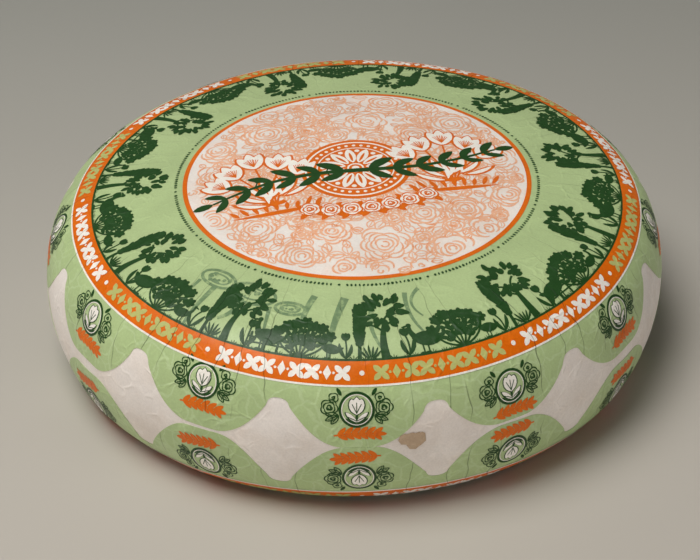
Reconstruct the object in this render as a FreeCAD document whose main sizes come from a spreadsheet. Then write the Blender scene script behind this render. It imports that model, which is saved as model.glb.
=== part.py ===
import FreeCAD, Part
import math
import os
import Sketcher

# A whole goat gouda: one solid cheese with a top label and a base label stuck on its coat.
# Millimetres, +Z up. The origin is the middle of the flat face that the wheel rests on.

os.makedirs("parts", exist_ok=True)
doc = FreeCAD.newDocument("GoatGouda")

# ---- driving dimensions ----
sheet = doc.addObject("Spreadsheet::Sheet", "Sizes")
dimensions = [
    ("diameter", 270),            # across the widest level
    ("height", 83),               # from the base to the middle of the crown
    ("widest_level", 33),         # height of the widest level above the base
    ("side_radius", 62),          # bulge of the side, seen in section
    ("crown_radius", 600),        # slow dome of the top face
    ("shoulder_radius", 30),      # between the dome and the side
    ("edge_radius", 16),          # between the side and the base
    ("label_thickness", 0.4),     # printed sheet with its coat of wax
    ("seam_level", 36),           # height where the scallops of both labels meet
    ("seam_gap", 1),              # left open between those scallops
    ("scallops", 12),             # round each label
    ("tip_width", 20),            # straight end of a scallop
    ("notch_radius", 5),          # rounded head of the notch between scallops
    ("top_notch_rise", 19),       # notch in the top label, above its rim
    ("base_notch_drop", 19),      # notch in the base label, below its rim
    ("cut_margin", 1),            # how far a notch's cutter runs past the rim
]
for row, (alias, number) in enumerate(dimensions, start=1):
    sheet.set("A%d" % row, alias.replace("_", " "))
    sheet.set("B%d" % row, str(number))
    sheet.setAlias("B%d" % row, alias)
doc.recompute()
size = {alias: float(sheet.get(alias)) for alias, number in dimensions}


# ---- helpers for bodies and sketches ----
def origin_feature(body, role):
    for feature in body.Origin.OriginFeatures:
        if feature.Role == role:
            return feature
    raise ValueError(role)


def new_body(label):
    body = doc.addObject("PartDesign::Body", label)
    body.Label = label
    body.Placement = FreeCAD.Placement()
    return body


def upright_sketch(body, name):
    """A sketch in the XZ plane: its x runs outwards and its y runs up."""
    sketch = body.newObject("Sketcher::SketchObject", name)
    sketch.AttachmentSupport = [(origin_feature(body, "XZ_Plane"), "")]
    sketch.MapMode = "FlatFace"
    return sketch


# A piece of an outline is (index, vertex where it begins, vertex where it ends).
START, END, CENTRE = 1, 2, 3
AXIS_UP = -2


def add_line(sketch, begin, finish):
    line = Part.LineSegment(FreeCAD.Vector(*begin, 0), FreeCAD.Vector(*finish, 0))
    return sketch.addGeometry(line), START, END


def add_arc(sketch, centre, radius, begin, finish):
    """An arc that runs from the angle begin to the angle finish, either way round."""
    circle = Part.Circle(FreeCAD.Vector(*centre, 0), FreeCAD.Vector(0, 0, 1), radius)
    index = sketch.addGeometry(Part.ArcOfCircle(circle, min(begin, finish), max(begin, finish)))
    return (index, START, END) if finish > begin else (index, END, START)


def join(sketch, kind, first, second):
    sketch.addConstraint(Sketcher.Constraint(kind, first[0], first[2], second[0], second[1]))


def meet(sketch, first, first_vertex, second, second_vertex):
    sketch.addConstraint(Sketcher.Constraint("Coincident", first, first_vertex, second, second_vertex))


def bind(sketch, kind, references, value, expression):
    number = sketch.addConstraint(Sketcher.Constraint(kind, *references, value))
    sketch.setExpression("Constraints[%d]" % number, expression)


def bind_radius(sketch, piece, value, expression):
    bind(sketch, "Radius", (piece[0],), value, expression)


def bind_point(sketch, index, vertex, point, across, up):
    if across is None:
        sketch.addConstraint(Sketcher.Constraint("PointOnObject", index, vertex, AXIS_UP))
    else:
        bind(sketch, "DistanceX", (-1, 1, index, vertex), point[0], across)
    bind(sketch, "DistanceY", (-1, 1, index, vertex), point[1], up)


def on_circle(centre, radius, angle):
    return centre[0] + radius * math.cos(angle), centre[1] + radius * math.sin(angle)


def bearing(centre, point):
    return math.atan2(point[1] - centre[1], point[0] - centre[0])


# ---- section of the wheel: dome, shoulder, side and base edge, all tangent ----
CROWN_CENTRE = (0, size["height"] - size["crown_radius"])
SIDE_CENTRE = (size["diameter"] / 2 - size["side_radius"], size["widest_level"])
EDGE_CENTRE = (
    SIDE_CENTRE[0] + math.sqrt((size["side_radius"] - size["edge_radius"]) ** 2
                               - (size["edge_radius"] - size["widest_level"]) ** 2),
    size["edge_radius"],
)


def shoulder_centre():
    """The centre that is one shoulder radius inside both the dome and the side."""
    from_crown = size["crown_radius"] - size["shoulder_radius"]
    from_side = size["side_radius"] - size["shoulder_radius"]
    across = CROWN_CENTRE[0] - SIDE_CENTRE[0]
    up = CROWN_CENTRE[1] - SIDE_CENTRE[1]
    span = math.hypot(across, up)
    along = (from_side ** 2 - from_crown ** 2 + span ** 2) / (2 * span)
    aside = math.sqrt(from_side ** 2 - along ** 2)
    across, up = across / span, up / span
    return SIDE_CENTRE[0] + across * along - up * aside, SIDE_CENTRE[1] + up * along + across * aside


SHOULDER_CENTRE = shoulder_centre()
DOME_END = bearing(CROWN_CENTRE, SHOULDER_CENTRE)
SIDE_BEGIN = bearing(SIDE_CENTRE, SHOULDER_CENTRE)
SIDE_FINISH = bearing(SIDE_CENTRE, EDGE_CENTRE)
SIDE_ACROSS = "Sizes.diameter / 2 - Sizes.side_radius"


def upper_run(sketch, inset, thinner, side_finish):
    """Dome, shoulder and side, from the middle of the top outwards and down."""
    crown = add_arc(sketch, CROWN_CENTRE, size["crown_radius"] - inset, math.pi / 2, DOME_END)
    shoulder = add_arc(sketch, SHOULDER_CENTRE, size["shoulder_radius"] - inset, DOME_END, SIDE_BEGIN)
    side = add_arc(sketch, SIDE_CENTRE, size["side_radius"] - inset, SIDE_BEGIN, side_finish)
    join(sketch, "Tangent", crown, shoulder)
    join(sketch, "Tangent", shoulder, side)
    sketch.addConstraint(Sketcher.Constraint("PointOnObject", crown[0], crown[1], AXIS_UP))
    bind_point(sketch, crown[0], CENTRE, CROWN_CENTRE, None, "Sizes.height - Sizes.crown_radius")
    bind_point(sketch, side[0], CENTRE, SIDE_CENTRE, SIDE_ACROSS, "Sizes.widest_level")
    bind_radius(sketch, crown, size["crown_radius"] - inset, "Sizes.crown_radius" + thinner)
    bind_radius(sketch, shoulder, size["shoulder_radius"] - inset, "Sizes.shoulder_radius" + thinner)
    bind_radius(sketch, side, size["side_radius"] - inset, "Sizes.side_radius" + thinner)
    return crown, side


def lower_run(sketch, inset, thinner, side):
    """Base edge and flat base, from the end of the side inwards to the axis."""
    edge = add_arc(sketch, EDGE_CENTRE, size["edge_radius"] - inset, SIDE_FINISH, -math.pi / 2)
    base = add_line(sketch, (EDGE_CENTRE[0], inset), (0, inset))
    join(sketch, "Tangent", side, edge)
    join(sketch, "Tangent", edge, base)
    sketch.addConstraint(Sketcher.Constraint("Horizontal", base[0]))
    bind_point(sketch, base[0], END, (0, inset), None, "0 * Sizes.height" + thinner.replace("-", "+"))
    bind_radius(sketch, edge, size["edge_radius"] - inset, "Sizes.edge_radius" + thinner)
    return base


SKIN = size["label_thickness"]
THINNER = " - Sizes.label_thickness"


def revolve(body, sketch, name):
    revolution = body.newObject("PartDesign::Revolution", name)
    revolution.Profile = sketch
    revolution.ReferenceAxis = (sketch, ["V_Axis"])
    revolution.Angle = 360
    sketch.Visibility = False
    doc.recompute()
    return revolution


# ---- the cheese: solid right through, one label thickness inside the outer form ----
def build_cheese():
    body = new_body("cheese")
    sketch = upright_sketch(body, "CheeseSection")
    crown, side = upper_run(sketch, SKIN, THINNER, SIDE_FINISH)
    base = lower_run(sketch, SKIN, THINNER, side)
    axis = add_line(sketch, (0, SKIN), (0, size["height"] - SKIN))
    join(sketch, "Coincident", base, axis)
    join(sketch, "Coincident", axis, crown)
    revolve(body, sketch, "CheeseTurn")
    return body


# ---- the labels: thin printed skins with scalloped rims ----
def seam_edge(sign):
    """Level of a label's rim: sign is +1 for the top label and -1 for the base label."""
    level = size["seam_level"] + sign * size["seam_gap"] / 2
    return level, "Sizes.seam_level %s Sizes.seam_gap / 2" % ("+" if sign > 0 else "-")


def rim_angle(sign):
    """Bearing of a label's rim about the centre of the side's arc."""
    return math.asin((seam_edge(sign)[0] - size["widest_level"]) / size["side_radius"])


def rim_line(sketch, outer_side, inner_side, side_vertex, sign):
    """The label's rim, square to the side: it closes the two skins of the section."""
    level, expression = seam_edge(sign)
    angle = rim_angle(sign)
    inner_end = on_circle(SIDE_CENTRE, size["side_radius"] - SKIN, angle)
    rim = add_line(sketch, on_circle(SIDE_CENTRE, size["side_radius"], angle), inner_end)
    spoke_line = Part.LineSegment(FreeCAD.Vector(*SIDE_CENTRE, 0), FreeCAD.Vector(*inner_end, 0))
    spoke = sketch.addGeometry(spoke_line, True)
    meet(sketch, outer_side[0], side_vertex, rim[0], START)
    meet(sketch, inner_side[0], side_vertex, rim[0], END)
    meet(sketch, spoke, START, outer_side[0], CENTRE)
    meet(sketch, spoke, END, rim[0], END)
    sketch.addConstraint(Sketcher.Constraint("Parallel", spoke, rim[0]))
    bind(sketch, "DistanceY", (-1, 1, rim[0], START), level, expression)


def touching_rise(half_pitch, head_rise, half_tip, head):
    """Height above the rim of the centre of a scallop's arc.

    The arc runs through the corner of the tip and touches the head of the notch.
    """
    known = half_pitch ** 2 + head_rise ** 2 - half_tip ** 2 - head ** 2
    square = 4 * (head_rise ** 2 - head ** 2)
    single = 4 * known * head_rise
    plain = known ** 2 - 4 * (head * half_tip) ** 2
    return (single - math.sqrt(single ** 2 - 4 * square * plain)) / (2 * square)


def nearest_turn(begin, finish):
    """The same two angles, less than half a turn apart."""
    return begin, begin + math.remainder(finish - begin, 2 * math.pi)


def notch_pocket(body, name, sign, depth_alias):
    """One notch between two scallops, cut outwards through the side, then repeated all round.

    Each scallop is an arc from the corner of its tip up to the rounded head of the notch.
    """
    rim, rim_expression = seam_edge(sign)
    head = size["notch_radius"]
    half_tip = size["tip_width"] / 2
    half_pitch = size["diameter"] / 2 * math.sin(math.pi / size["scallops"])
    head_rise = size[depth_alias] - head
    scallop_rise = touching_rise(half_pitch, head_rise, half_tip, head)
    radius = math.hypot(half_tip, scallop_rise)
    head_centre = (0, rim + sign * head_rise)
    floor = rim - sign * size["cut_margin"]
    contact = math.atan2(sign * (scallop_rise - head_rise), half_pitch)
    corner = math.atan2(-sign * scallop_rise, -half_tip)

    sketch = upright_sketch(body, name + "Outline")
    half_pitch_turn = FreeCAD.Rotation(FreeCAD.Vector(0, 1, 0), 180 / size["scallops"])
    sketch.AttachmentOffset = FreeCAD.Placement(FreeCAD.Vector(), half_pitch_turn)
    sketch.setExpression("AttachmentOffset.Rotation.Angle", "180 deg / Sizes.scallops")
    head_arc = add_arc(sketch, head_centre, head, sign * math.pi - contact, contact)
    scallops = []
    drops = []
    for flip in (1, -1):
        centre = (flip * half_pitch, rim + sign * scallop_rise)
        begin, finish = (contact + math.pi, corner) if flip > 0 else (-contact, math.pi - corner)
        begin, finish = nearest_turn(begin, finish)
        scallops.append(add_arc(sketch, centre, radius, begin, finish))
        across = flip * (half_pitch - half_tip)
        drops.append(add_line(sketch, (across, rim), (across, floor)))
    closing = add_line(sketch, (half_pitch - half_tip, floor), (half_tip - half_pitch, floor))

    join(sketch, "Tangent", head_arc, scallops[0])
    join(sketch, "Tangent", (head_arc[0], head_arc[2], head_arc[1]), scallops[1])
    for scallop, drop, closing_vertex in zip(scallops, drops, (START, END)):
        join(sketch, "Coincident", scallop, drop)
        meet(sketch, drop[0], END, closing[0], closing_vertex)
        sketch.addConstraint(Sketcher.Constraint("Vertical", drop[0]))
    sketch.addConstraint(Sketcher.Constraint("Horizontal", closing[0]))
    sketch.addConstraint(Sketcher.Constraint("Symmetric", scallops[0][0], scallops[0][2],
                                             scallops[1][0], scallops[1][2], AXIS_UP))
    sketch.addConstraint(Sketcher.Constraint("Equal", scallops[0][0], scallops[1][0]))
    sense, opposite = ("+", "-") if sign > 0 else ("-", "+")
    pitch_expression = "Sizes.diameter / 2 * sin(180 deg / Sizes.scallops)"
    bind_radius(sketch, head_arc, head, "Sizes.notch_radius")
    bind_point(sketch, head_arc[0], CENTRE, head_centre, None,
               "%s %s (Sizes.%s - Sizes.notch_radius)" % (rim_expression, sense, depth_alias))
    bind_point(sketch, drops[0][0], START, (half_pitch - half_tip, rim),
               pitch_expression + " - Sizes.tip_width / 2", rim_expression)
    bind(sketch, "DistanceX", (-1, 1, scallops[0][0], CENTRE), half_pitch, pitch_expression)
    bind(sketch, "DistanceY", (-1, 1, closing[0], START), floor,
         "%s %s Sizes.cut_margin" % (rim_expression, opposite))

    pocket = body.newObject("PartDesign::Pocket", name)
    pocket.Profile = sketch
    pocket.Type = "ThroughAll"
    sketch.Visibility = False
    doc.recompute()
    if pocket.Shape.Volume > pocket.BaseFeature.Shape.Volume - size["tip_width"]:
        raise RuntimeError(name + " cuts nothing")
    pattern = body.newObject("PartDesign::PolarPattern", name + "Pattern")
    pattern.Originals = [pocket]
    pattern.Axis = (origin_feature(body, "Z_Axis"), [""])
    pattern.Angle = 360
    pattern.setExpression("Occurrences", "Sizes.scallops")
    body.Tip = pattern
    doc.recompute()


def build_top_label():
    body = new_body("top_label")
    sketch = upright_sketch(body, "TopLabelSection")
    outer_crown, outer_side = upper_run(sketch, 0, "", rim_angle(1))
    inner_crown, inner_side = upper_run(sketch, SKIN, THINNER, rim_angle(1))
    rim_line(sketch, outer_side, inner_side, outer_side[2], 1)
    middle = add_line(sketch, (0, size["height"] - SKIN), (0, size["height"]))
    meet(sketch, middle[0], START, inner_crown[0], inner_crown[1])
    meet(sketch, middle[0], END, outer_crown[0], outer_crown[1])
    revolve(body, sketch, "TopLabelTurn")
    notch_pocket(body, "TopNotch", 1, "top_notch_rise")
    return body


def build_base_label():
    body = new_body("base_label")
    sketch = upright_sketch(body, "BaseLabelSection")
    sides = []
    bases = []
    for inset, thinner in ((0, ""), (SKIN, THINNER)):
        side = add_arc(sketch, SIDE_CENTRE, size["side_radius"] - inset, rim_angle(-1), SIDE_FINISH)
        bind_point(sketch, side[0], CENTRE, SIDE_CENTRE, SIDE_ACROSS, "Sizes.widest_level")
        bind_radius(sketch, side, size["side_radius"] - inset, "Sizes.side_radius" + thinner)
        sides.append(side)
        bases.append(lower_run(sketch, inset, thinner, side))
    rim_line(sketch, sides[0], sides[1], sides[0][1], -1)
    middle = add_line(sketch, (0, 0), (0, SKIN))
    meet(sketch, middle[0], START, bases[0][0], END)
    meet(sketch, middle[0], END, bases[1][0], END)
    revolve(body, sketch, "BaseLabelTurn")
    notch_pocket(body, "BaseNotch", -1, "base_notch_drop")
    return body


sub_parts = [build_cheese(), build_top_label(), build_base_label()]
doc.recompute()

# ---- every object sound, then one file for each sub-part ----
for item in doc.Objects:
    if "Invalid" in item.State or "Error" in item.State:
        raise RuntimeError("%s failed: %s" % (item.Name, item.State))
for body in sub_parts:
    shape = body.Shape
    if shape.isNull() or not shape.isValid() or len(shape.Solids) != 1:
        raise RuntimeError("%s is not one sound solid" % body.Label)
for body in sub_parts:
    body.Shape.exportStep("parts/%s.step" % body.Label)
    box = body.Shape.optimalBoundingBox(False)
    print("%s: volume %.0f mm3, %.1f x %.1f x %.1f mm, base at %.2f" % (
        body.Label, body.Shape.Volume, box.XLength, box.YLength, box.ZLength, box.ZMin))
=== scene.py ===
import bmesh
import bpy
import math
import random
from mathutils import Matrix, Vector, noise


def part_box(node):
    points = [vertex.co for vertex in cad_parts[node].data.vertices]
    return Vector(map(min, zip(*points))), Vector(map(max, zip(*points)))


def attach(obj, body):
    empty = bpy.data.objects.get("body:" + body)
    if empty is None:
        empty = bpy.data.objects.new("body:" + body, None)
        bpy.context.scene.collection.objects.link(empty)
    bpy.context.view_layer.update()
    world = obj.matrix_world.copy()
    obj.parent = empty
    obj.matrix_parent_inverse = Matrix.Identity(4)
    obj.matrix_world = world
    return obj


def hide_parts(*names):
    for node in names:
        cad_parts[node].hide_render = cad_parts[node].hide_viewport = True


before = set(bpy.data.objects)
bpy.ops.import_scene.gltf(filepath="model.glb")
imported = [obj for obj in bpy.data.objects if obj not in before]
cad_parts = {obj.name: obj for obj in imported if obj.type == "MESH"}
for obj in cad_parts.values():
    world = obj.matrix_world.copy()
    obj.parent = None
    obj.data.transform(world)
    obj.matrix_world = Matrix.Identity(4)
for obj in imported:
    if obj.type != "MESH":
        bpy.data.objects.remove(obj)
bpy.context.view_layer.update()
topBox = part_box("top_label")
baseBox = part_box("base_label")
outerRadius = baseBox[1][0]
wheelHeight = topBox[1][2]
seamLevel = (topBox[0][2] + baseBox[1][2]) / 2
mm = 0.001
print("frame loaded")

# Section of the wheel, the same run of arcs as the turned solid.
wheelForm = {
    "widestLevel": 33 * mm,
    "sideRadius": 62 * mm,
    "crownRadius": 600 * mm,
    "shoulderRadius": 30 * mm,
    "edgeRadius": 16 * mm,
    "lumpDepth": 0.5 * mm,       # slow lumps of a hand-dipped cheese
    "lumpSize": 45 * mm,
    "ruckDepth": 0.16 * mm,      # small rucks in the sheets
    "ruckSize": 9 * mm,
    "sag": 2.2 * mm,             # how far the top sheet is drawn down at the front
    "sagBegins": 85 * mm,
}


def sectionRuns():
    form = wheelForm
    crown = Vector((0, wheelHeight - form["crownRadius"]))
    side = Vector((outerRadius - form["sideRadius"], form["widestLevel"]))
    rise = form["edgeRadius"] - form["widestLevel"]
    edge = side + Vector((math.sqrt((form["sideRadius"] - form["edgeRadius"]) ** 2 - rise ** 2), rise))
    fromCrown = form["crownRadius"] - form["shoulderRadius"]
    fromSide = form["sideRadius"] - form["shoulderRadius"]
    gap = (crown - side).length
    along = (fromSide ** 2 - fromCrown ** 2 + gap ** 2) / (2 * gap)
    heading = (crown - side) / gap
    across = Vector((-heading.y, heading.x)) * math.sqrt(fromSide ** 2 - along ** 2)
    shoulder = side + heading * along + across
    turns = [math.pi / 2]
    for near, far in ((crown, shoulder), (side, shoulder), (side, edge)):
        turns.append(math.atan2(far.y - near.y, far.x - near.x))
    turns.append(-math.pi / 2)
    centres = (crown, shoulder, side, edge)
    radii = [form[name] for name in ("crownRadius", "shoulderRadius", "sideRadius", "edgeRadius")]
    return list(zip(centres, radii, turns[:-1], turns[1:]))


runs = sectionRuns()
arcLengths = [radius * (begin - finish) for centre, radius, begin, finish in runs]
flatBase = runs[-1][0].x
sectionLength = sum(arcLengths) + flatBase
sideCentre, sideRadius, sideBegin = runs[2][:3]
seamReach = sum(arcLengths[:2]) + sideRadius * (
    sideBegin - math.asin((seamLevel - sideCentre.y) / sideRadius))


def alongSection(reach):
    # reach runs down the section from the middle of the top: gives radius, height and the outward normal
    for (centre, radius, begin, finish), length in zip(runs, arcLengths):
        if reach <= length:
            turn = begin - reach / radius
            normal = Vector((math.cos(turn), math.sin(turn)))
            return centre + normal * radius, normal
        reach -= length
    return Vector((max(flatBase - reach, 0), 0)), Vector((0, -1))


def hollow(place):
    # how far the surface lies inside the true form
    lump = noise.noise(place / wheelForm["lumpSize"]) * 0.5 + 0.5
    ruck = noise.noise(place / wheelForm["ruckSize"] + Vector((7, 3, 1))) * 0.5 + 0.5
    standing = min(1, place.z / (6 * mm))     # flat where it stands
    return (lump * wheelForm["lumpDepth"] + ruck * wheelForm["ruckDepth"]) * standing


def sagAt(reach, bearing):
    # nothing at the middle of the top and at the seam
    front = max(0, -math.sin(bearing + 0.12)) ** 2
    begins = wheelForm["sagBegins"]
    share = min(1, max(0, (reach - begins) / (seamReach - begins)))
    return wheelForm["sag"] * front * math.sin(math.pi * share)


def sheetPoint(side, reach, bearing, lift):
    # reach runs over a sheet from the wheel's axis; side is 1 over the top and -1 over the base
    spot, normal = alongSection(reach if side > 0 else sectionLength - reach)
    around = Vector((math.cos(bearing), math.sin(bearing)))
    place = Vector((around.x * spot.x, around.y * spot.x, spot.y))
    outward = Vector((around.x * normal.x, around.y * normal.x, normal.y))
    return place + outward * (lift - hollow(place))


def wheelPoint(side, x, y, lift):
    # the same for a spot on the flat print
    reach = math.hypot(x, y)
    bearing = math.atan2(y, x)
    if side > 0:
        reach += sagAt(reach, bearing)
    return sheetPoint(side, reach, bearing, lift)


def makePiece(name, bm, material, node=None):
    for face in bm.faces:
        face.smooth = True
    for edge in bm.edges:
        edge.smooth = edge.calc_face_angle(0) < 1
    mesh = bpy.data.meshes.new(name)
    bm.to_mesh(mesh)
    bm.free()
    mesh.materials.append(material)
    piece = bpy.data.objects.new(name, mesh)
    bpy.context.scene.collection.objects.link(piece)
    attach(piece, "root")
    if node:
        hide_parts(node)
    return piece


def faceOutwards(bm):
    middle = Vector((0, 0, wheelHeight / 2))
    for face in bm.faces:
        face.normal_update()
        if face.normal.dot(face.calc_center_median() - middle) < 0:
            face.normal_flip()


# An output socket that takes part in sums: each sum adds its Math node.
class Wire:
    def __init__(self, paint, socket):
        self.paint = paint
        self.socket = socket

    def math(self, operation, *others):
        values = dict(enumerate((self,) + others))
        return self.paint.node("ShaderNodeMath", {"operation": operation}, values)[0]

    def __add__(self, other):
        return self.math("ADD", other)

    def __sub__(self, other):
        return self.math("SUBTRACT", other)

    def __mul__(self, other):
        return self.math("MULTIPLY", other)

    def __truediv__(self, other):
        return self.math("DIVIDE", other)

    __radd__ = __add__
    __rmul__ = __mul__

    def __rsub__(self, other):
        return self.paint.node("ShaderNodeMath", {"operation": "SUBTRACT"}, {0: other, 1: self})[0]


class Paint:
    def __init__(self, name):
        self.material = bpy.data.materials.new(name)
        self.material.use_nodes = True
        self.tree = self.material.node_tree
        self.shader = self.tree.nodes["Principled BSDF"]
        self.place = self.node("ShaderNodeTexCoord")["Object"]

    def node(self, kind, settings=None, values=None):
        made = self.tree.nodes.new(kind)
        for name, value in (settings or {}).items():
            setattr(made, name, value)
        for name, value in (values or {}).items():
            self.feed(made.inputs[name], value)
        return Outputs(self, made)

    def feed(self, socket, value):
        if isinstance(value, Wire):
            self.tree.links.new(value.socket, socket)
        else:
            socket.default_value = value

    def blend(self, factor, first, second):
        return self.node("ShaderNodeMix", {"data_type": "RGBA"}, {0: factor, 6: first, 7: second})[2]

    def noise(self, size, detail=2, roughness=0.5):
        values = {"Vector": self.place, "Scale": 1 / size, "Detail": detail, "Roughness": roughness}
        return self.node("ShaderNodeTexNoise", {}, values)

    def range(self, value, fromLow, fromHigh, low=0.0, high=1.0):
        values = {"Value": value, "From Min": fromLow, "From Max": fromHigh, "To Min": low, "To Max": high}
        return self.node("ShaderNodeMapRange", {"interpolation_type": "SMOOTHSTEP"}, values)[0]

    def bump(self, height, strength, distance, below=None):
        values = {"Height": height, "Strength": strength, "Distance": distance}
        if below:
            values["Normal"] = below
        return self.node("ShaderNodeBump", {}, values)[0]


class Outputs:
    def __init__(self, paint, made):
        self.paint = paint
        self.made = made

    def __getitem__(self, key):
        return Wire(self.paint, self.made.outputs[key])


def linear(red, green, blue):
    # a colour given as a screen shows it, 0 to 255
    parts = (red, green, blue)
    return (*(((part / 255 + 0.055) / 1.055) ** 2.4 if part > 10 else part / 3295 for part in parts), 1)


coat = {
    "roughness": 0.44,
    "clear": 0.14,              # wax over the print
    "clearRoughness": 0.28,
    "foldsAround": 64,
    "foldWidth": 0.019,         # share of the space between folds
    # how much painted shade darkens the colour along the fold lines
    "foldShade": 0.5,
    "crinkleSize": 4.5 * mm,
    "creaseSize": 9 * mm,
    "creaseHeight": 0.5 * mm,
    "specular": 0.35,
    "foldDepth": 0.4 * mm,
    "crinkleHeight": 0.6 * mm,
}


def foldLines(paint):
    # narrow upright folds where the sheets are gathered round the shoulder and the lower edge; finishCoat
    # bumps them and darkens the colour along them as painted shade
    split = paint.node("ShaderNodeSeparateXYZ", {}, {0: paint.place})
    bearing = split["X"].math("ARCTAN2", split["Y"] * -1)
    wander = paint.noise(22 * mm)["Fac"]
    spaced = bearing * (coat["foldsAround"] / (2 * math.pi)) + wander * 0.9
    cells = paint.node("ShaderNodeTexVoronoi", {"voronoi_dimensions": "1D", "feature": "DISTANCE_TO_EDGE"},
                       {"W": spaced, "Scale": 1.0})
    line = paint.range(cells["Distance"], coat["foldWidth"], coat["foldWidth"] * 0.3)
    fromSeam = (split["Z"] - seamLevel).math("ABSOLUTE")
    zone = paint.range(fromSeam, 43 * mm, 36 * mm) * paint.range(fromSeam, 3 * mm, 13 * mm)
    patches = paint.range(paint.noise(24 * mm, 1)["Fac"], 0.42, 0.54)
    return line * zone * patches


def crackle(paint, size, warpSize, warpBy):
    # distance to the nearest of a web of wandering lines
    warp = paint.noise(warpSize)["Color"]
    bent = paint.node("ShaderNodeVectorMath", {"operation": "MULTIPLY_ADD"},
                      {0: warp, 1: (warpBy,) * 3, 2: paint.place})[0]
    return paint.node("ShaderNodeTexVoronoi", {"feature": "DISTANCE_TO_EDGE"},
                      {"Vector": bent, "Scale": 1 / size})["Distance"]


def creases(paint):
    # ridges of a crumpled sheet pressed flat, strongest down the sides; finishCoat bumps them and lightens
    # the colour on them as a painted highlight
    web = paint.range(crackle(paint, coat["creaseSize"], 12 * mm, 10 * mm), 0.12, 0.0)
    height = paint.node("ShaderNodeSeparateXYZ", {}, {0: paint.place})["Z"]
    side = paint.range(height, 81 * mm, 74 * mm, 0.25, 1)
    patches = paint.range(paint.noise(11 * mm)["Fac"], 0.4, 0.65)
    return web * side * patches


def finishCoat(paint, colour, foldShade=1.0, crinkle=1.0):
    folds = foldLines(paint) * foldShade
    ridges = creases(paint)
    crinkles = paint.noise(coat["crinkleSize"], 5, 0.6)["Fac"]
    lumps = paint.noise(20 * mm, 3)["Fac"]
    grain = paint.noise(0.8 * mm)["Fac"]
    shade = paint.range(lumps, 0.25, 0.75, 0.93, 1.03) * paint.range(grain, 0.3, 0.7, 0.96, 1.03)
    # painted shade: the colour is darkened along the fold lines; painted highlight: it is lightened on the
    # crease ridges
    shade = shade * (1 - folds * coat["foldShade"]) * (1 + ridges * 0.07)
    toned = paint.node("ShaderNodeVectorMath", {"operation": "SCALE"}, {0: colour, "Scale": shade})[0]
    paint.feed(paint.shader.inputs["Base Color"], toned)
    paint.feed(paint.shader.inputs["Roughness"],
               paint.range(crinkles, 0.3, 0.7, coat["roughness"] - 0.06, coat["roughness"] + 0.08))
    paint.shader.inputs["Coat Weight"].default_value = coat["clear"]
    paint.shader.inputs["Coat Roughness"].default_value = coat["clearRoughness"]
    paint.shader.inputs["Specular IOR Level"].default_value = coat["specular"]
    folded = paint.bump(folds, 0.5, coat["foldDepth"])
    ridged = paint.bump(ridges, 0.45 * crinkle, coat["creaseHeight"], folded)
    crinkled = paint.bump(crinkles, 0.45 * crinkle, coat["crinkleHeight"], ridged)
    paint.feed(paint.shader.inputs["Normal"], crinkled)
    return paint.material


inks = {
    "sheetGreen": linear(176, 196, 140),
    "leafGreen": linear(33, 70, 28),
    "orange": linear(222, 104, 2),
    "offWhite": linear(236, 228, 220),
    "white": linear(244, 238, 228),
    "bandGreen": linear(186, 186, 112),
    "wax": linear(238, 229, 221),
    "peach": linear(236, 182, 148),
    "strongPeach": linear(228, 140, 84),
    "paleVein": linear(196, 214, 166),
    "setOff": linear(112, 138, 98),
    "bruise": linear(186, 160, 132),
}


def plainInk(name, ink, second=None, share=0.35):
    # one printed colour, thinner in patches
    paint = Paint(name)
    patches = paint.range(paint.noise(3 * mm, 4, 0.7)["Fac"], 0.45, 0.75, 0, share)
    colour = paint.blend(patches, inks[ink], second or inks["sheetGreen"])
    return finishCoat(paint, colour)


def sheetPrint():
    # pale green with a faint lighter tracery over the gathered sides
    paint = Paint("sheetPrint")
    veins = paint.range(crackle(paint, 9 * mm, 14 * mm, 14 * mm), 0.07, 0.02)
    height = paint.node("ShaderNodeSeparateXYZ", {}, {0: paint.place})["Z"]
    side = paint.range((height - seamLevel).math("ABSOLUTE"), 32 * mm, 24 * mm)
    colour = paint.blend(veins * side * 0.4, inks["sheetGreen"], inks["paleVein"])
    speckle = paint.range(paint.noise(1.6 * mm, 3, 0.8)["Fac"], 0.62, 0.8, 0, 0.25)
    return finishCoat(paint, paint.blend(speckle, colour, inks["paleVein"]))


def discPrint():
    # off-white with soft warm clouds between the roses
    paint = Paint("discPrint")
    clouds = paint.range(paint.noise(12 * mm, 3, 0.6)["Fac"], 0.45, 0.75, 0, 0.4)
    return finishCoat(paint, paint.blend(clouds, inks["offWhite"], linear(236, 206, 186)), 0.0, 0.6)


def waxCoat():
    paint = Paint("waxCoat")
    clouds = paint.range(paint.noise(18 * mm, 4, 0.6)["Fac"], 0.35, 0.7)
    colour = paint.blend(clouds, inks["wax"], linear(230, 218, 207))
    pores = paint.range(paint.noise(1.4 * mm)["Fac"], 0.66, 0.78, 0, 0.3)
    return finishCoat(paint, paint.blend(pores, colour, linear(212, 198, 182)), 0.0, 0.8)


materials = {
    "wax": waxCoat(),
    "sheet": sheetPrint(),
    "disc": discPrint(),
    "dark": plainInk("darkInk", "leafGreen", linear(52, 92, 46)),
    "orange": plainInk("orangeInk", "orange", linear(234, 128, 26)),
    "white": plainInk("whiteInk", "white", linear(226, 214, 196)),
    "peach": plainInk("peachInk", "peach", inks["strongPeach"], 0.9),
    "bandGreen": plainInk("bandGreenInk", "bandGreen"),
    "setOff": plainInk("setOffInk", "setOff", share=0.8),
    "bruise": plainInk("bruiseStain", "bruise", linear(216, 190, 160)),
}
print("materials made")

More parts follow.
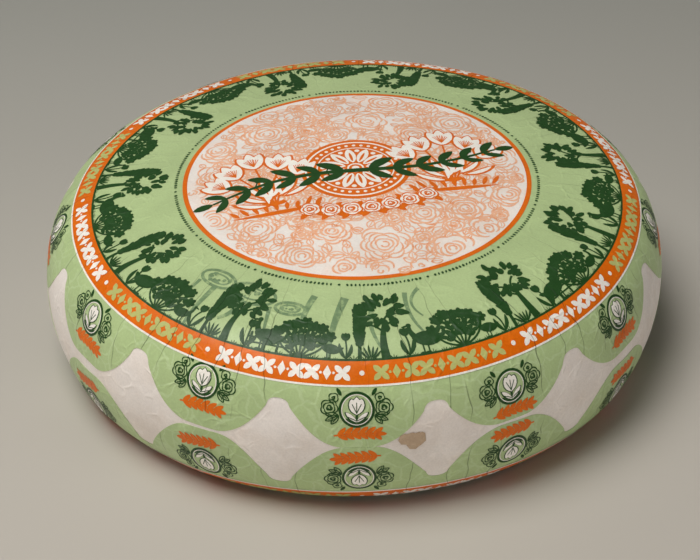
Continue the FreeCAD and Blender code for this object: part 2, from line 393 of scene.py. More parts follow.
sheetForm = {
    "waxLift": -0.42 * mm,
    "lift": -0.26 * mm,          # outer face of a sheet, inside the true form
    "wall": 0.12 * mm,
    "spokes": 960,
    "centreStep": 9 * mm,
    "edgeStep": 2.6 * mm,
    "skirtBegins": 112 * mm,
    "scallops": 12,
    "notchReach": 131.8 * mm,      # head of a notch, from the middle of the print
    "notchHead": 4.8 * mm,       # half the width of its blunt head
    "notchCorner": 3.4 * mm,
    "notchHalf": 26 * mm,        # half its width at the seam
    "notchCurve": 1.9,
    "gap": 0.05 * mm,            # from a tip to the seam, at the front
    "sideGap": 2.6 * mm,         # and elsewhere
}
# one for each label: where its middle lies, how the skirts crowd to the front in degrees,
# and how far each scallop hangs down in millimetres, starting at the front
printLay = {
    1: {"shift": Vector((2 * mm, -7.4 * mm)), "gather": 3.6, "start": -1, "deeper": 0.4 * mm,
        "drops": (0, 1.6, -0.8, -1.5, 0.7, -0.6, 1.2, -1.1, 0.4, 1.0, 0, -2.2)},
    -1: {"shift": Vector((1 * mm, -11.2 * mm)), "gather": 1.6, "start": 0.4, "deeper": 2.8 * mm,
         "drops": (0.3, 1.2, 0.6, -1.4, 0.9, -0.3, 1.1, -0.8, -1.2, 0.5, 0.8, -0.5)},
}
frontBearing = -math.pi / 2


def polarGrid(bm, reaches, spokes):
    # a flat disc or ring: a grid whose x turns into bearing and whose y turns into reach
    rows = len(reaches) - 1
    made = bmesh.ops.create_grid(bm, x_segments=spokes, y_segments=rows, size=0.5)["verts"]
    for vert in made:
        bearing = (vert.co.x + 0.5) * 2 * math.pi
        reach = reaches[round((vert.co.y + 0.5) * rows)]
        vert.co = Vector((reach * math.cos(bearing), reach * math.sin(bearing), 0))
    bmesh.ops.remove_doubles(bm, verts=made, dist=1e-7)


def steps(begin, finish, stride):
    count = max(1, math.ceil((finish - begin) / stride))
    return [begin + (finish - begin) * number / count for number in range(count + 1)]


def skirtBearing(side, turns):
    # bearing on the print of a place that many scallops round from the front
    lay = printLay[side]
    even = turns * 2 * math.pi / sheetForm["scallops"]
    return frontBearing + even + math.radians(lay["start"] * side - lay["gather"] * math.sin(even))


def notchHeads(side):
    heads = []
    drops = printLay[side]["drops"]
    for number in range(sheetForm["scallops"]):
        bearing = skirtBearing(side, number + 0.5)
        drop = (drops[number] + drops[(number + 1) % len(drops)]) / 2 * mm - printLay[side]["deeper"]
        spot = Vector((math.cos(bearing), math.sin(bearing))) * (sheetForm["notchReach"] + drop)
        spot += printLay[side]["shift"]
        bearing = math.atan2(spot.y, spot.x)
        heads.append((bearing, spot.length + (sagAt(spot.length, bearing) if side > 0 else 0)))
    return sorted(heads)


def notchRise(across, depth):
    # blunt rounded head, then flanks that flatten out towards the seam
    form = sheetForm
    head, corner = form["notchHead"], form["notchCorner"]
    if across < head:
        return depth - corner * (1 - math.sqrt(1 - abs(across / head) ** 2.5))
    share = min(1, (across - head) / (form["notchHalf"] - head))
    return (depth - corner) * (1 - share) ** form["notchCurve"]


def rimReach(side, bearing, heads):
    form = sheetForm
    front = max(0, -math.sin(bearing))
    gap = form["gap"] + form["sideGap"] * min(1, (1 - front) * 2.4)
    tip = (seamReach if side > 0 else sectionLength - seamReach) - gap
    wave = noise.noise(Vector((math.cos(bearing), math.sin(bearing), side)) * 9) * 0.9 * mm
    rises = []
    for head, reach in heads:
        across = abs(math.remainder(bearing - head, 2 * math.pi)) * outerRadius + wave
        rises.append(notchRise(across, tip - reach))
    return tip - max(rises)


def makeSheet(name, side, node):
    form = sheetForm
    tip = seamReach if side > 0 else sectionLength - seamReach
    bm = bmesh.new()
    reaches = steps(0, form["skirtBegins"] - 20 * mm, form["centreStep"])
    reaches += steps(reaches[-1], tip, form["edgeStep"])[1:]
    polarGrid(bm, reaches, form["spokes"])
    heads = notchHeads(side)
    rims = {}
    for vert in bm.verts:
        reach = vert.co.length
        bearing = math.atan2(vert.co.y, vert.co.x)
        if reach > form["skirtBegins"]:
            spoke = round(bearing / (2 * math.pi) * form["spokes"]) % form["spokes"]
            if spoke not in rims:
                rims[spoke] = rimReach(side, bearing, heads)
            share = (reach - form["skirtBegins"]) / (tip - form["skirtBegins"])
            reach = form["skirtBegins"] + share * (rims[spoke] - form["skirtBegins"])
        vert.co = sheetPoint(side, reach, bearing, form["lift"])
    faceOutwards(bm)
    bmesh.ops.solidify(bm, geom=bm.faces[:], thickness=form["wall"])
    return makePiece(name, bm, materials["sheet"], node)


def makeRound():
    bm = bmesh.new()
    reaches = steps(0, 90 * mm, 10 * mm) + steps(93 * mm, sectionLength - 100 * mm, 3 * mm)
    reaches += steps(sectionLength - 90 * mm, sectionLength, 15 * mm)
    polarGrid(bm, reaches, 360)
    for vert in bm.verts:
        vert.co = sheetPoint(1, vert.co.length, math.atan2(vert.co.y, vert.co.x), sheetForm["waxLift"])
    bmesh.ops.remove_doubles(bm, verts=bm.verts, dist=1e-6)
    faceOutwards(bm)
    return makePiece("waxRound", bm, materials["wax"], "cheese")


makeRound()
makeSheet("topSheet", 1, "top_label")
makeSheet("baseSheet", -1, "base_label")
print("cheese and sheets made")

# The print is drawn flat, one ink at a time, and then laid on a sheet.
layStep = 0.0015 * mm
plenty = 1500                    # vertices in a drawing before they are put by


class Drawing:
    # flat shapes of one ink; each new shape lies a hair above the last
    def __init__(self):
        self.bm = bmesh.new()
        self.done = []
        self.count = 0
        self.moveTo((0, 0))

    def moveTo(self, spot, heading=0.0, size=1.0):
        turn = Matrix.Rotation(heading, 4, "Z")
        self.frame = Matrix.Translation((spot[0], spot[1], 0)) @ turn @ Matrix.Scale(size, 4)

    def place(self, verts):
        self.count += 1
        for vert in verts:
            vert.co = self.frame @ vert.co
            vert.co.z = (self.count % 16) * layStep
        if len(self.bm.verts) > plenty:
            self.putBy()

    def putBy(self):
        mesh = bpy.data.meshes.new("drawn")
        self.bm.to_mesh(mesh)
        self.bm.free()
        self.done.append(mesh)
        self.bm = bmesh.new()

    def gathered(self):
        # everything drawn so far as one new bmesh
        self.putBy()
        bm = bmesh.new()
        for mesh in self.done:
            bm.from_mesh(mesh)
        return bm

    def disc(self, spot, radius, sides=20, squash=1.0, heading=0.0):
        made = bmesh.ops.create_circle(self.bm, cap_ends=True, segments=sides, radius=radius)["verts"]
        turn = Matrix.Rotation(heading, 3, "Z")
        for vert in made:
            vert.co = turn @ Vector((vert.co.x, vert.co.y * squash, 0)) + Vector((spot[0], spot[1], 0))
        self.place(made)

    def leaf(self, spot, heading, length, width, bow=0.0, sides=14):
        # pointed at both ends, growing from spot
        made = bmesh.ops.create_circle(self.bm, cap_ends=True, segments=sides, radius=1)["verts"]
        turn = Matrix.Rotation(heading, 3, "Z")
        for vert in made:
            along, across = vert.co.x, vert.co.y
            across = across * math.sqrt(abs(across)) * width / 2 + bow * (1 - along * along)
            vert.co = turn @ Vector(((along + 1) * length / 2, across, 0)) + Vector((spot[0], spot[1], 0))
        self.place(made)

    def stroke(self, path, width, pieces=12):
        # a ribbon along path(0) to path(1); width is a number or a function of the way along
        made = bmesh.ops.create_grid(self.bm, x_segments=pieces, y_segments=1, size=0.5)["verts"]
        for vert in made:
            way, hand = vert.co.x + 0.5, vert.co.y * 2
            ahead = path(min(way + 0.01, 1)) - path(max(way - 0.01, 0))
            ahead.normalize()
            half = (width(way) if callable(width) else width) / 2
            spot = path(way) + Vector((-ahead.y, ahead.x)) * (half * hand)
            vert.co = Vector((spot.x, spot.y, 0))
        self.place(made)

    def ring(self, spot, radius, width, squash=1.0, pieces=40):
        middle = Vector(spot)
        self.stroke(lambda way: middle + Vector((radius * math.cos(way * 2 * math.pi),
                                                 radius * squash * math.sin(way * 2 * math.pi))),
                    width, pieces)

    def band(self, inner, outer, stride, spokes):
        # a full ring about the middle of the print
        self.putBy()
        polarGrid(self.bm, steps(inner, outer, stride), spokes)
        self.putBy()


def line(begin, finish, bow=0.0):
    begin, finish = Vector(begin), Vector(finish)
    aside = Vector((begin.y - finish.y, finish.x - begin.x)).normalized() * bow
    return lambda way: begin.lerp(finish, way) + aside * (4 * way * (1 - way))


def polar(reach, bearing):
    return Vector((reach * math.cos(bearing), reach * math.sin(bearing)))


def arc(middle, radius, begin, finish, swell=0.0):
    middle = Vector(middle)
    turn = finish - begin
    return lambda way: middle + polar(radius + swell * math.sin(way * math.pi), begin + turn * way)


def shorten(bm, longest):
    # short edges, so that a flat shape follows the round of the wheel
    bmesh.ops.triangulate(bm, faces=bm.faces)
    for tries in range(7):
        long = [edge for edge in bm.edges if edge.calc_length() > longest]
        if not long:
            return
        bmesh.ops.subdivide_edges(bm, edges=long, cuts=1)
        bmesh.ops.triangulate(bm, faces=bm.faces)


def layOn(name, drawing, side, lift, material, longest=2.4 * mm):
    bm = drawing.gathered()
    shorten(bm, longest)
    shift = printLay[side]["shift"]
    for vert in bm.verts:
        vert.co = wheelPoint(side, vert.co.x * side + shift.x, vert.co.y + shift.y, lift + vert.co.z)
    faceOutwards(bm)
    return makePiece(name, bm, materials[material])


# Motifs stand on their own foot and grow upwards.
def blossom(ink, spot, radius, rng, width, layers=4, limit=None, missing=0.0):
    # an open rose in outline: a curl in the middle and rings of petals
    spot = Vector(spot)
    start = rng.uniform(0, 6)
    ink.stroke(arc(spot, radius * 0.12, start, start + 4.6, radius * 0.05), width, 7)
    for layer in range(layers):
        reach = radius * (0.3 + 0.64 * layer / max(1, layers - 1))
        petals = 3 + layer
        start += rng.uniform(0.4, 1.0)
        for petal in range(petals):
            middle = start + petal * 2 * math.pi / petals + rng.uniform(-0.2, 0.2) * (missing > 0)
            half = math.pi / petals * rng.uniform(1.02, 1.2)
            path = arc(spot, reach * rng.uniform(0.8, 0.88), middle - half, middle + half, reach * 0.2)
            if rng.random() < missing or limit and max(path(way).length for way in (0, 0.5, 1)) > limit:
                continue
            ink.stroke(path, lambda way: width * (0.45 + 0.75 * math.sin(way * math.pi)), 7)


def leafOutline(ink, spot, heading, length, width, thick):
    spot = Vector(spot)
    tip = spot + polar(length, heading)
    for bow in (-width / 2, width / 2):
        ink.stroke(line(spot, tip, bow), thick, 7)
    ink.stroke(line(spot, spot + polar(length * 0.8, heading), width * 0.06), thick * 0.7, 4)


def tulip(ink, height, rng):
    lean = rng.uniform(-0.08, 0.08) * height
    top = Vector((lean, height * 0.7))
    ink.stroke(line((0, 0), top, lean), height * 0.06)
    for hand in (-1, 1):
        ink.leaf((0, 0), math.pi / 2 - hand * rng.uniform(0.3, 0.5), height * rng.uniform(0.55, 0.7),
                 height * 0.15, -hand * height * 0.06)
    for turn in (-0.34, 0, 0.34):
        ink.leaf(top - Vector((0, height * 0.02)), math.pi / 2 - turn, height * 0.34, height * 0.2)


def tree(ink, height, rng):
    ink.stroke(line((0, 0), (height * 0.03, height * 0.55), height * 0.03),
               lambda way: height * (0.12 - 0.07 * way))
    for hand, low in ((-1, 0.36), (1, 0.42), (-1, 0.5), (1, 0.56)):
        ink.stroke(line((height * 0.01, height * low), (hand * height * 0.16, height * (low + 0.16)),
                        hand * height * 0.02), height * 0.03, 5)
    for number in range(44):
        reach = height * 0.24 * math.sqrt(rng.uniform(0.05, 1))
        spot = Vector((height * 0.01, height * 0.73)) + polar(reach, number * 2.4)
        ink.leaf(spot, number * 2.4 + rng.uniform(-0.5, 0.5), height * rng.uniform(0.12, 0.16),
                 height * 0.085, 0, 8)


def poplar(ink, height, rng):
    ink.stroke(line((0, 0), (0, height * 0.9)), lambda way: height * (0.06 - 0.04 * way))
    for number in range(17):
        level = 0.2 + number * 0.043
        width = math.sin(math.pi * min(1, (level - 0.1) / 0.95)) ** 0.7
        for hand in (-1, 1):
            ink.leaf((0, height * level), math.pi / 2 - hand * rng.uniform(0.45, 0.7),
                     height * 0.2 * width, height * 0.075, 0, 8)
    ink.leaf((0, height * 0.82), math.pi / 2, height * 0.18, height * 0.08)


def roseBush(ink, width, height, rng):
    stems = 7
    for number in range(stems):
        share = number / (stems - 1) * 2 - 1
        level = height * (0.86 - 0.3 * share * share) * rng.uniform(0.92, 1.04)
        tip = Vector((share * width * 0.44, level))
        ink.stroke(line((share * height * 0.06, 0), tip, -share * height * 0.12), height * 0.045, 8)
        for petal in range(6):
            ink.leaf(tip, petal * 1.05 + share, height * 0.15, height * 0.12, 0, 8)
        for step in range(4):
            foot = Vector((0, 0)).lerp(tip, 0.3 + step * 0.17)
            for hand in (-1, 1):
                ink.leaf(foot, math.pi / 2 - share * 0.5 - hand * rng.uniform(0.6, 0.9),
                         height * rng.uniform(0.16, 0.22), height * 0.1, 0, 8)


def goose(ink, height, facing, rng):
    def at(x, y):
        return Vector((x * facing * height, y * height))
    for x in (-0.02, 0.12):
        ink.stroke(line(at(x, 0.36), at(x - 0.02, 0)), height * 0.045, 3)
        ink.leaf(at(x - 0.05, 0.015), 0 if facing > 0 else math.pi, height * 0.16, height * 0.07, 0, 8)
    heading = 0.16 if facing > 0 else math.pi - 0.16
    ink.leaf(at(-0.48, 0.36), heading, height * 0.86, height * 0.46, 0, 18)
    ink.leaf(at(-0.58, 0.52), -0.5 if facing > 0 else math.pi + 0.5, height * 0.42, height * 0.16)
    ink.stroke(line(at(0.2, 0.46), at(0.34, 0.92), -0.07 * facing * height),
               lambda way: height * (0.2 - 0.11 * way), 8)
    ink.disc(at(0.35, 0.93), height * 0.075, 12)
    ink.leaf(at(0.36, 0.93), -0.15 if facing > 0 else math.pi + 0.15, height * 0.2, height * 0.07, 0, 8)


def grass(ink, height, rng, blades=6):
    for number in range(blades):
        lean = (number / (blades - 1) - 0.5) * 1.5
        ink.leaf((lean * height * 0.15, 0), math.pi / 2 - lean, height * rng.uniform(0.7, 1),
                 height * 0.16, -lean * height * 0.08, 8)


def fence(ink, width, height):
    posts = 4
    for number in range(posts):
        x = (number / (posts - 1) - 0.5) * width
        ink.stroke(line((x, 0), (x, height)), height * 0.15, 2)
        ink.leaf((x, height * 0.95), math.pi / 2, height * 0.16, height * 0.15, 0, 8)
    for level in (0.38, 0.74):
        ink.stroke(line((-width * 0.56, height * level), (width * 0.56, height * (level + 0.03))),
                   height * 0.1, 6)


def ear(ink, begin, finish, bow, grains, size):
    # an ear of wheat along a bowed stem
    stem = line(begin, finish, bow)
    ink.stroke(stem, size * 0.14, 10)
    for number in range(grains):
        way = (number + 0.5) / grains
        ahead = stem(min(1, way + 0.03)) - stem(max(0, way - 0.03))
        heading = math.atan2(ahead.y, ahead.x)
        for hand in (-1, 1):
            ink.leaf(stem(way), heading + hand * 0.62, size, size * 0.42, -hand * size * 0.04, 10)
    ink.leaf(stem(0.97), heading, size, size * 0.4, 0, 10)


printForm = {
    "fieldLift": -0.2 * mm,
    "traceLift": -0.168 * mm,
    "inkLift": -0.138 * mm,
    "overLift": -0.108 * mm,
    "topLift": -0.078 * mm,
    "branchLift": -0.048 * mm,
    "disc": 72.2 * mm,
    "discRing": 74.2 * mm,
    "beads": 77.2 * mm,
    "ground": 112.7 * mm,        # where the frieze stands
    "bandInner": 113.6 * mm,
    "bandOuter": 123 * mm,
    "whiteLine": 123.8 * mm,
    "emblem": 133.4 * mm,
    "badge": 144.4 * mm,
    "friezeUnits": 11,
    "bandGroups": 12,
}


def standOn(ink, reach, bearing, size=1.0):
    # local up runs from the rim of the print to its middle
    ink.moveTo(polar(reach, bearing), bearing + math.pi / 2, size)


def drawTracery(ink):
    # roses large and small, crowded all over the disc
    rng = random.Random(41)
    limit = printForm["disc"] - 1.5 * mm
    placed = []
    for tries in range(2200):
        spot = polar(limit * math.sqrt(rng.random()), rng.uniform(0, 6.28))
        radius = (11.5 if tries < 80 else 8 if tries < 500 else 4.6) * rng.uniform(0.9, 1.1) * mm
        if all((spot - other).length > (radius + size) * 0.86 for other, size in placed):
            placed.append((spot, radius))
    for spot, radius in placed:
        layers = 5 if radius > 10 * mm else 4 if radius > 7 * mm else 3
        blossom(ink, spot, radius, rng, rng.uniform(0.8, 1.15) * mm, layers, limit, 0.08)
        for number in range(6):
            heading = number * 1.05 + rng.uniform(0, 0.6)
            foot = spot + polar(radius * 0.96, heading)
            length = rng.uniform(4, 7) * mm
            if (foot + polar(length, heading)).length < limit:
                leafOutline(ink, foot, heading + rng.uniform(-0.6, 0.6), length, length * 0.6, 0.6 * mm)


def drawFrieze(ink):
    rng = random.Random(8)
    ground = printForm["ground"]
    units = printForm["friezeUnits"]
    for number in range(units):
        start = frontBearing + (number + 0.15) * 2 * math.pi / units
        facing = 1 if number % 2 else -1
        plan = (
            (0, lambda: tree(ink, 29 * mm, rng)),
            (9, lambda: tulip(ink, 12 * mm, rng)),
            (16, lambda: goose(ink, 14 * mm, facing, rng)),
            (30.5, lambda: roseBush(ink, 23 * mm, 18 * mm, rng)),
            (42.5, lambda: goose(ink, 9 * mm, facing, rng)),
            (48.5, lambda: tulip(ink, 11 * mm, rng)),
            (54, lambda: poplar(ink, 26 * mm, rng)),
            (58.5, lambda: grass(ink, 6 * mm, rng)),
        )
        for along, draw in plan:
            standOn(ink, ground, start + (along + rng.uniform(-0.4, 0.4)) * mm / ground)
            draw()
        if number % 3 == 1:
            standOn(ink, ground, start + 19 * mm / ground)
            fence(ink, 17 * mm, 6.5 * mm)
    for number in range(190):
        standOn(ink, ground + 0.3 * mm, number / 190 * 2 * math.pi + rng.uniform(-0.01, 0.01))
        grass(ink, rng.uniform(1.0, 2.2) * mm, rng, 3)


def drawBeads(ink):
    # a ring of tiny seeds with a dot now and then
    rng = random.Random(5)
    count = 300
    for number in range(count):
        standOn(ink, printForm["beads"], number / count * 2 * math.pi)
        if number % 22 == 0:
            ink.disc((0, 0), 0.6 * mm, 8)
        elif number % 22 not in (1, 21):
            ink.disc((0, 0), 0.8 * mm, 6, rng.uniform(0.45, 0.8), rng.uniform(1.0, 2.0))


def drawBand(white, green, dots):
    # four-petalled flowers and lozenges along the orange band, in turn white and pale green
    groups = printForm["bandGroups"]
    middle = (printForm["bandInner"] + printForm["bandOuter"]) / 2
    for group in range(groups):
        ink = white if group % 2 else green
        for number in range(9):
            bearing = frontBearing + (group + 0.12 + number * 0.095) * 2 * math.pi / groups
            standOn(ink, middle, bearing)
            if number % 3 == 1:
                ink.disc((0, 0), 2.9 * mm, 4, 0.55, math.pi / 2)
                for hand in (-1, 1):
                    ink.disc((hand * 2.5 * mm, 0), 0.55 * mm, 8)
            else:
                for turn in range(4):
                    ink.leaf((0, 0), (turn + 0.5) * math.pi / 2, 4.1 * mm, 2.4 * mm, 0, 12)
        standOn(dots, middle, frontBearing + group * 2 * math.pi / groups)
        dots.disc((0, 0), 1 * mm, 14)


# two leaves and three petals of the tulip in a roundel: lean, foot, length and width
roundelLeaves = ((-0.8, -4.4, 5.2, 1.5), (0.8, -4.4, 5.2, 1.5), (-0.32, -1.5, 5.7, 3.2),
                 (0.32, -1.5, 5.7, 3.2), (0, -1.7, 6.3, 2.9))


def drawEmblems(dark, white, over, orange, side):
    # on each scallop a roundel with a tulip, roses at both hands, and an ear of wheat below
    rng = random.Random(12)
    for number in range(sheetForm["scallops"]):
        bearing = skirtBearing(side, number)
        if side < 0:
            bearing = math.pi - bearing
        drop = printLay[side]["drops"][number] * mm
        for ink in (dark, white, over):
            standOn(ink, printForm["emblem"] + drop, bearing, 1.2)
        dark.ring((0, 0), 5.7 * mm, 0.85 * mm, 1.08)
        white.ring((0, 0), 5.05 * mm, 0.3 * mm, 1.08)
        for turn, foot, length, width in roundelLeaves:
            dark.leaf((0, (foot - 0.3) * mm), math.pi / 2 + turn, (length + 0.6) * mm, (width + 0.6) * mm)
            white.leaf((0, foot * mm), math.pi / 2 + turn, length * mm, width * mm)
            tip = Vector((0, foot * mm)) + polar(length * 0.7 * mm, math.pi / 2 + turn * 1.25)
            over.stroke(line((0, (foot + 0.4) * mm), tip), 0.3 * mm, 3)
        dark.stroke(line((0, -5 * mm), (0, -1 * mm)), 0.9 * mm, 3)
        for hand in (-1, 1):
            dark.leaf((0, -5.4 * mm), math.pi / 2 + hand * 1.0, 4.6 * mm, 1.5 * mm, hand * 0.5 * mm)
            blossom(dark, (hand * 9.2 * mm, 1.1 * mm), 3.1 * mm, rng, 0.42 * mm, 3)
            blossom(dark, (hand * 7.6 * mm, 4.6 * mm), 1.7 * mm, rng, 0.36 * mm, 2)
            for lean, length in ((0.15, 4.6), (-0.35, 5.0), (-0.85, 4.2)):
                heading = math.pi / 2 - hand * (math.pi / 2 - lean)
                foot = Vector((hand * 6.2 * mm, -1.8 * mm))
                leafOutline(dark, foot, heading, length * mm, 1.8 * mm, 0.4 * mm)
            dark.leaf((hand * 5 * mm, 5.2 * mm), math.pi / 2 - hand * 0.5, 3.0 * mm, 1.3 * mm)
        standOn(orange, printForm["badge"] + drop, bearing)
        ear(orange, (-10 * mm, -0.6 * mm), (8.4 * mm, 0.4 * mm), 0.5 * mm * side, 6, 5.2 * mm)


def drawCentre(layers):
    rng = random.Random(3)
    orange, white, over, dark = layers
    for ink in layers:
        ink.moveTo((0, 0), math.radians(12))
    hub = Vector((0, 2 * mm))
    # medallion: white flower in an orange round
    orange.disc(hub, 23.5 * mm, 64)
    white.ring(hub, 21.2 * mm, 0.9 * mm, 1, 64)
    for number in range(36):
        white.disc(hub + polar(18.6 * mm, number * math.pi / 18), 0.8 * mm, 10)
    white.ring(hub, 16.4 * mm, 0.6 * mm, 1, 56)
    for number in range(12):
        turn = number * math.pi / 6
        white.leaf(hub + polar(4.4 * mm, turn), turn, 11.4 * mm, 4.6 * mm)
        over.leaf(hub + polar(5.4 * mm, turn), turn, 7.4 * mm, 1.3 * mm)
        white.disc(hub + polar(14 * mm, turn + 0.262), 1.1 * mm, 10)
    white.ring(hub, 3.2 * mm, 0.8 * mm, 1, 24)
    white.disc(hub, 1.6 * mm)
    # bunches of tulips at both hands, white in orange outline
    for hand in (-1, 1):
        foot = Vector((hand * 38 * mm, -19 * mm))
        for number in (0, 4, 1, 3, 2):
            lean = math.pi / 2 - (number - 2) * 0.3 - hand * 0.1
            tip = foot + polar((35 - abs(number - 2) * 3.5) * mm, lean)
            orange.stroke(line(foot, tip, (number - 2) * 1.2 * mm), 0.9 * mm)
            for turn, length in ((-0.42, 12), (0.42, 12), (0, 13)):
                heading = lean + turn
                orange.leaf(tip - polar(2.6 * mm, lean), heading, (length + 1.8) * mm, 6.8 * mm)
                white.leaf(tip - polar(1.8 * mm, lean), heading, (length + 0.2) * mm, 5.3 * mm)
                for vein in (-0.16, 0, 0.16):
                    over.stroke(line(tip, tip + polar(length * 0.5 * mm, heading + vein)), 0.35 * mm, 4)
            for side in (-1, 1):
                spot = foot.lerp(tip, 0.12 + 0.05 * number)
                heading = lean + side * 0.5
                orange.leaf(spot, heading, 17 * mm, 4 * mm, side * 1.2 * mm)
                white.leaf(spot + polar(1.8 * mm, heading), heading, 13 * mm, 2.2 * mm, side * 1.1 * mm)
        tie = Vector((4.5 * mm, 0))
        waist = foot + Vector((0, 5 * mm))
        orange.stroke(line(waist - tie, waist + tie, -1.4 * mm), 2.4 * mm)
        for number in range(9):
            blade = foot + Vector(((number - 4) * 4 * mm, -1.5 * mm))
            orange.leaf(blade, math.pi / 2 + (4 - number) * 0.16, rng.uniform(5, 8) * mm, 2 * mm)
        bank = Vector((20 * mm, 0))
        ground = foot - Vector((0, 2 * mm))
        orange.stroke(line(ground - bank, ground + bank, -0.8 * mm),
                      lambda way: 2.6 * mm * math.sin(way * math.pi))
    # garland of small roses below the medallion
    for number in range(7):
        share = (number - 3) / 3
        spot = Vector((share * 25 * mm, (-28 + 4.5 * share * share) * mm))
        for hand in (-1, 1):
            orange.leaf(spot, math.pi * 1.5 + hand * 0.7, 8 * mm, 3 * mm)
            orange.leaf(spot, math.pi * 0.5 + hand * 0.9, 7 * mm, 2.4 * mm)
        white.disc(spot, 4.3 * mm, 9)
        blossom(over, spot, 4.5 * mm, rng, 0.62 * mm, 3)
    # dark branch across the middle
    begin, finish = Vector((-63 * mm, -7 * mm)), Vector((63 * mm, 7 * mm))

    def branch(way):
        return begin.lerp(finish, way) + Vector((0, 5 * mm * math.sin(way * 2 * math.pi)))

    dark.stroke(branch, lambda way: (3.0 - 1.9 * abs(2 * way - 1)) * mm, 48)
    for number in range(12):
        way = 0.05 + number * 0.0818
        ahead = branch(min(way + 0.02, 1)) - branch(way)
        heading = math.atan2(ahead.y, ahead.x) + (0 if number > 5 else math.pi)
        for hand in (-1, 1):
            length = rng.uniform(11, 13.5) * mm * (1.08 - 0.5 * abs(way - 0.5))
            dark.leaf(branch(way), heading + hand * rng.uniform(0.5, 0.7), length, length * 0.36,
                      hand * 0.8 * mm)
            if number % 3 == 1:
                berry = branch(way + 0.035) + Vector((0, hand * 4 * mm))
                dark.stroke(line(branch(way + 0.02), berry), 0.6 * mm, 3)
                dark.disc(berry, 1.5 * mm, 14)
    for way, heading in ((1, 0.2), (0, math.pi + 0.2)):
        dark.leaf(branch(way), heading, 9 * mm, 4 * mm)


setOffMarks = {
    # degrees from the front, reach from the middle, length and width in millimetres
    "strokes": ((-43, 92, 20, 1.6), (-38, 92, 26, 2.4), (-30, 93, 12, 3.4),
                (-22, 93, 15, 1.8), (-12, 84, 26, 2.8), (-4, 84, 29, 3.4),
                (4, 85, 25, 2.4), (12, 83, 22, 2.0), (16, 82, 14, 1.6)),
    "loops": ((-39, 88, 8), (-28, 89, 10), (-17, 92, 6)),
}


def drawSetOff(ink):
    # faint marks of ink set off from another sheet: loops and trailing strokes
    rng = random.Random(21)
    for degrees, reach, length, width in setOffMarks["strokes"]:
        standOn(ink, reach * mm, frontBearing + math.radians(degrees))
        ink.stroke(line((0, 0), (rng.uniform(-5, 5) * mm, -length * mm), rng.uniform(-4, 4) * mm),
                   lambda way: width * mm * (1 - 0.6 * way), 14)
    for degrees, reach, radius in setOffMarks["loops"]:
        standOn(ink, reach * mm, frontBearing + math.radians(degrees))
        ink.ring((0, 0), radius * mm, 1.3 * mm, 0.5, 26)
        ink.ring((0, 0), radius * 0.62 * mm, 0.8 * mm, 0.45, 20)
        for number in range(12):
            ink.disc((rng.uniform(-0.6, 0.6) * radius * mm, rng.uniform(-0.25, 0.25) * radius * mm),
                     rng.uniform(0.4, 1.0) * mm, 8)


def layPrint(side, word):
    form = printForm
    field, tracery = Drawing(), Drawing()
    white, dark, orange, green = Drawing(), Drawing(), Drawing(), Drawing()
    fine, bandWhite = Drawing(), Drawing()
    centre = [Drawing() for layer in range(4)]
    field.band(0, form["disc"], 5 * mm, 200)
    drawTracery(tracery)
    orange.band(form["disc"], form["discRing"], 1.6 * mm, 360)
    orange.band(form["bandInner"], form["bandOuter"], 2 * mm, 480)
    dark.band(form["ground"], form["bandInner"], 1.4 * mm, 480)
    white.band(form["bandOuter"], form["whiteLine"], 1 * mm, 480)
    drawBeads(dark)
    drawFrieze(dark)
    drawEmblems(dark, white, fine, orange, side)
    drawCentre(centre)
    drawBand(bandWhite, green, bandWhite)
    layOn(word + "DiscField", field, side, form["fieldLift"], "disc", 5 * mm)
    layOn(word + "Tracery", tracery, side, form["traceLift"], "peach", 4 * mm)
    layOn(word + "OrangePrint", orange, side, form["traceLift"], "orange")
    layOn(word + "DarkPrint", dark, side, form["inkLift"], "dark")
    layOn(word + "WhitePrint", white, side, form["overLift"], "white")
    layOn(word + "FinePrint", fine, side, form["topLift"], "dark")
    layOn(word + "BandWhite", bandWhite, side, form["overLift"], "white")
    layOn(word + "BandGreen", green, side, form["overLift"], "bandGreen")
    layOn(word + "Flowers", centre[0], side, form["inkLift"], "orange", 4 * mm)
    layOn(word + "FlowerWhite", centre[1], side, form["overLift"], "white", 4 * mm)
    layOn(word + "FlowerVeins", centre[2], side, form["topLift"], "orange", 4 * mm)
    layOn(word + "Branch", centre[3], side, form["branchLift"], "dark", 4 * mm)


layPrint(1, "top")
layPrint(-1, "base")
setOff = Drawing()
drawSetOff(setOff)
layOn("topSetOff", setOff, 1, printForm["fieldLift"] + 0.02 * mm, "setOff")

chip = {
    "bearing": 8.8,              # degrees round from the front
    "reach": 156.6 * mm,
    "size": 4.5 * mm,
    "lift": 0.05 * mm,           # above the sheets' outer face
    "flakes": ((-0.75, 0.0, 0.6), (0, 0.25, 0.85), (0.6, 0.1, 0.8), (0.2, -0.5, 0.7), (0.9, 0.55, 0.4)),
}


def makeChip():
    # scuffed patch where the coat shows tan, just right of the front scallop
    rng = random.Random(2)
    spot = polar(chip["reach"], frontBearing + math.radians(chip["bearing"])) - printLay[1]["shift"]
    patch = Drawing()
    patch.moveTo(spot, frontBearing + math.pi / 2)
    size = chip["size"]
    for x, y, share in chip["flakes"]:
        patch.disc((x * size, y * size), size * share * rng.uniform(0.85, 1.1), 7, rng.uniform(0.75, 1))
    layOn("chip", patch, 1, sheetForm["lift"] + chip["lift"], "bruise", 1 * mm)


makeChip()
print("print laid on")

view = {
    "lens": 93.23,               # millimetres on a 36 mm wide picture
    "distance": 5.9416,          # in wheel radii from the middle of the widest level
    "elevation": 33.854,
    "aimTurn": 0.142,
    "aimTilt": -0.707,
    "roll": -1.342,
}


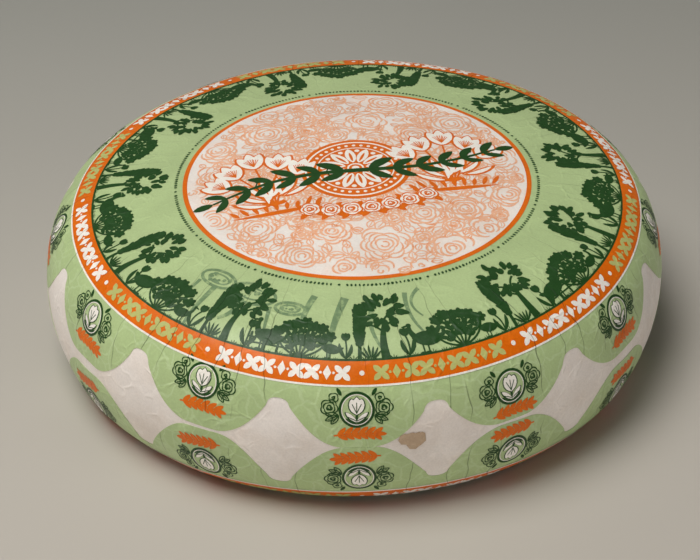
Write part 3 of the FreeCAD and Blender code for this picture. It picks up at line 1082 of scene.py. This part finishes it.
def makeCamera():
    camera = bpy.data.objects.new("camera", bpy.data.cameras.new("camera"))
    bpy.context.scene.collection.objects.link(camera)
    camera.data.lens = view["lens"]
    camera.data.sensor_width = 36
    tilt = math.radians(view["elevation"])
    away = Vector((0, -math.cos(tilt), math.sin(tilt))) * view["distance"] * outerRadius
    place = Matrix.Translation(Vector((0, 0, wheelForm["widestLevel"])) + away)
    turn = Matrix.Rotation(math.pi / 2 - tilt, 4, "X")
    for name, axis in (("aimTurn", "Y"), ("aimTilt", "X"), ("roll", "Z")):
        turn = turn @ Matrix.Rotation(math.radians(view[name]), 4, axis)
    camera.matrix_world = place @ turn
    bpy.context.scene.camera = camera


lamps = {
    "overhead": {"spot": (-0.3, -0.12, 1.0), "size": 0.55, "power": 6.2, "colour": (1, 0.985, 0.96)},
    "wide": {"bearing": -158, "elevation": 72, "spread": 30, "power": 0.9, "colour": (1, 0.985, 0.96)},
    "leftSide": {"bearing": -122, "elevation": 5, "spread": 22, "power": 1.22, "colour": (1, 0.98, 0.96)},
    "rightSide": {"bearing": -20, "elevation": 5, "spread": 22, "power": 0.92, "colour": (1, 0.98, 0.96)},
    "back": {"bearing": 90, "elevation": 8, "spread": 50, "power": 0.45, "colour": (1, 0.98, 0.96)},
}


def makeLight(name):
    # a soft box overhead, or broad light from one side, which the floor does not mirror
    choice = lamps[name]
    overhead = "spot" in choice
    lamp = bpy.data.lights.new(name, "AREA" if overhead else "SUN")
    lamp.energy = choice["power"]
    lamp.color = choice["colour"]
    if overhead:
        lamp.size = choice["size"]
        spot = Vector(choice["spot"])
    else:
        lamp.angle = math.radians(choice["spread"])
        low = math.radians(choice["elevation"])
        spot = polar(math.cos(low), math.radians(choice["bearing"])).to_3d() + Vector((0, 0, math.sin(low)))
    light = bpy.data.objects.new(name, lamp)
    light.location = spot
    light.visible_glossy = overhead
    light.rotation_euler = (Vector((0, 0, 0.04)) - spot).to_track_quat("-Z", "Y").to_euler()
    bpy.context.scene.collection.objects.link(light)


stage = {
    "floorHalf": 6,              # metres
    # the floor is painted paler at the front and darker at the back: painted shade for the light's falloff
    "nearFloor": linear(194, 187, 177),
    "farFloor": linear(150, 151, 144),
    "floorRoughness": 0.5,
    "skyLight": 0.065,
    "backdrop": 0.42,
}


def makeFloor():
    bm = bmesh.new()
    bmesh.ops.create_grid(bm, x_segments=1, y_segments=1, size=stage["floorHalf"])
    mesh = bpy.data.meshes.new("floor")
    bm.to_mesh(mesh)
    bm.free()
    floor = bpy.data.objects.new("floor", mesh)
    bpy.context.scene.collection.objects.link(floor)
    paint = Paint("floorSheet")
    # painted shade: the floor's colour darkens from the front towards the back
    depth = paint.node("ShaderNodeSeparateXYZ", {}, {0: paint.place})["Y"]
    shade = paint.blend(paint.range(depth, -0.35, 0.6), stage["nearFloor"], stage["farFloor"])
    paint.feed(paint.shader.inputs["Base Color"], shade)
    paint.shader.inputs["Roughness"].default_value = stage["floorRoughness"]
    mesh.materials.append(paint.material)


def makeWorld():
    # faint light from all round; seen directly it is a pale backdrop
    world = bpy.data.worlds.new("studio")
    bpy.context.scene.world = world
    world.use_nodes = True
    tree = world.node_tree
    seen = tree.nodes.new("ShaderNodeLightPath").outputs["Is Camera Ray"]
    strength = tree.nodes.new("ShaderNodeMapRange")
    strength.inputs["To Min"].default_value = stage["skyLight"]
    strength.inputs["To Max"].default_value = stage["backdrop"]
    tree.links.new(seen, strength.inputs["Value"])
    tree.links.new(strength.outputs[0], tree.nodes["Background"].inputs["Strength"])
    tree.nodes["Background"].inputs["Color"].default_value = (1, 0.985, 0.95, 1)


makeCamera()
for name in lamps:
    makeLight(name)
makeFloor()
makeWorld()
bpy.context.scene.view_settings.view_transform = "Standard"
print("stage set")
